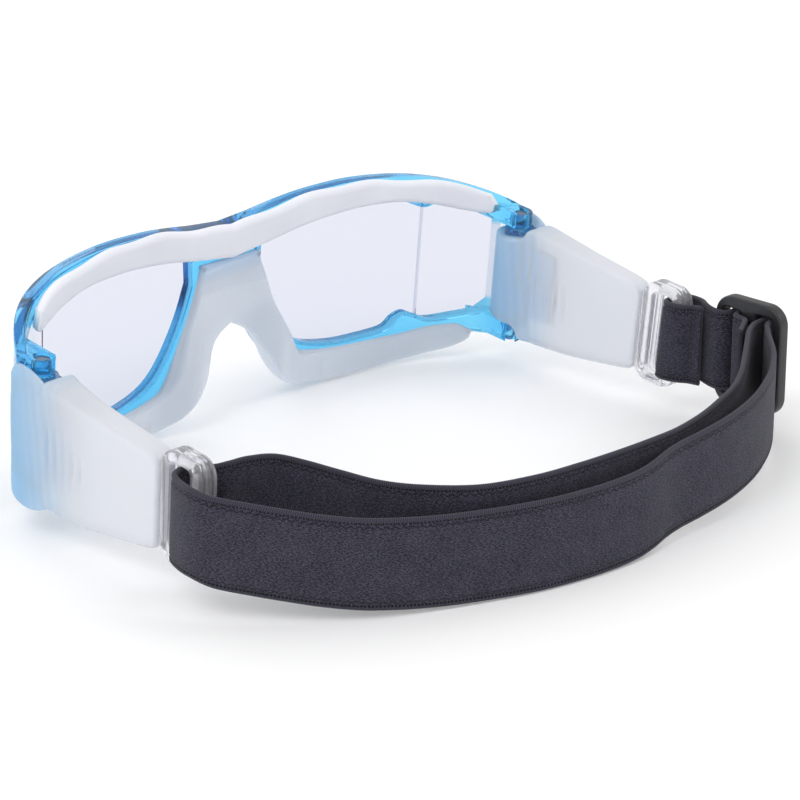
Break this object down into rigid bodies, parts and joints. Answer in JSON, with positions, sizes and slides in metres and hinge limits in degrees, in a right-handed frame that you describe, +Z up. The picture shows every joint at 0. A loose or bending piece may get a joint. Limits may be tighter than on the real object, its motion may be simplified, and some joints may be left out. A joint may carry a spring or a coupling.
{
  "type": "safety goggles",
  "caption": "Wrap-around sports safety goggles: clear blue frame, curved clear lenses, soft brow and nose pads, hinged silicone arms and an elastic head strap with a sliding buckle.",
  "frame": {"origin": "middle of the footprint, on the table that the goggles lie on", "axes": "+Z up; the front faces -Y and the strap lies at +Y; +X is the wearer's left"},
  "size_m": [0.1544, 0.1318, 0.0498],
  "materials": {
    "clear_blue_plastic": "polished transparent sky-blue polycarbonate",
    "lens_plastic": "polished clear polycarbonate",
    "brow_pad_rubber": "soft matte white",
    "nose_pad_rubber": "soft milky translucent silicone",
    "pin_plastic": "clear moulded pin",
    "core_plastic": "polished transparent blue insert",
    "arm_silicone": "frosted translucent silicone",
    "ring_plastic": "polished clear plastic",
    "webbing": "elastic knitted webbing, charcoal",
    "slider_plastic": "satin black moulding",
    "thread": "sewing thread, charcoal"
  },
  "bodies": {
    "frame": {"front_frame": "clear_blue_plastic", "lens_left": "lens_plastic", "lens_right": "lens_plastic", "side_window_left": "lens_plastic", "side_window_right": "lens_plastic", "brow_pad": "brow_pad_rubber", "nose_pad": "nose_pad_rubber", "hinge_pin_left": "pin_plastic", "hinge_pin_right": "pin_plastic", "strap": "webbing", "strap_stitching": "thread"},
    "left_arm": {"arm_left": "arm_silicone", "arm_core_left": "core_plastic", "strap_ring_left": "ring_plastic"},
    "right_arm": {"arm_right": "arm_silicone", "arm_core_right": "core_plastic", "strap_ring_right": "ring_plastic"},
    "slider": {"strap_slider": "slider_plastic"}
  },
  "joints": [
    {"name": "left_arm_swing", "type": "hinge", "parent": "frame", "child": "left_arm", "pos_m": [0.0714, -0.03471, 0.02312], "axis": [0, 0.1357, 0.9907], "range_deg": [0, 30], "deforming": ["strap", "strap_stitching"]},
    {"name": "right_arm_swing", "type": "hinge", "parent": "frame", "child": "right_arm", "pos_m": [-0.0686, -0.03471, 0.02312], "axis": [0, -0.1357, -0.9907], "range_deg": [0, 30], "deforming": ["strap", "strap_stitching"]},
    {"name": "slider_slide", "type": "slide", "parent": "right_arm", "child": "slider", "axis": [0, 0.9997, -0.0244], "range_m": [0, 0.015], "deforming": ["strap", "strap_stitching"]}
  ]
}
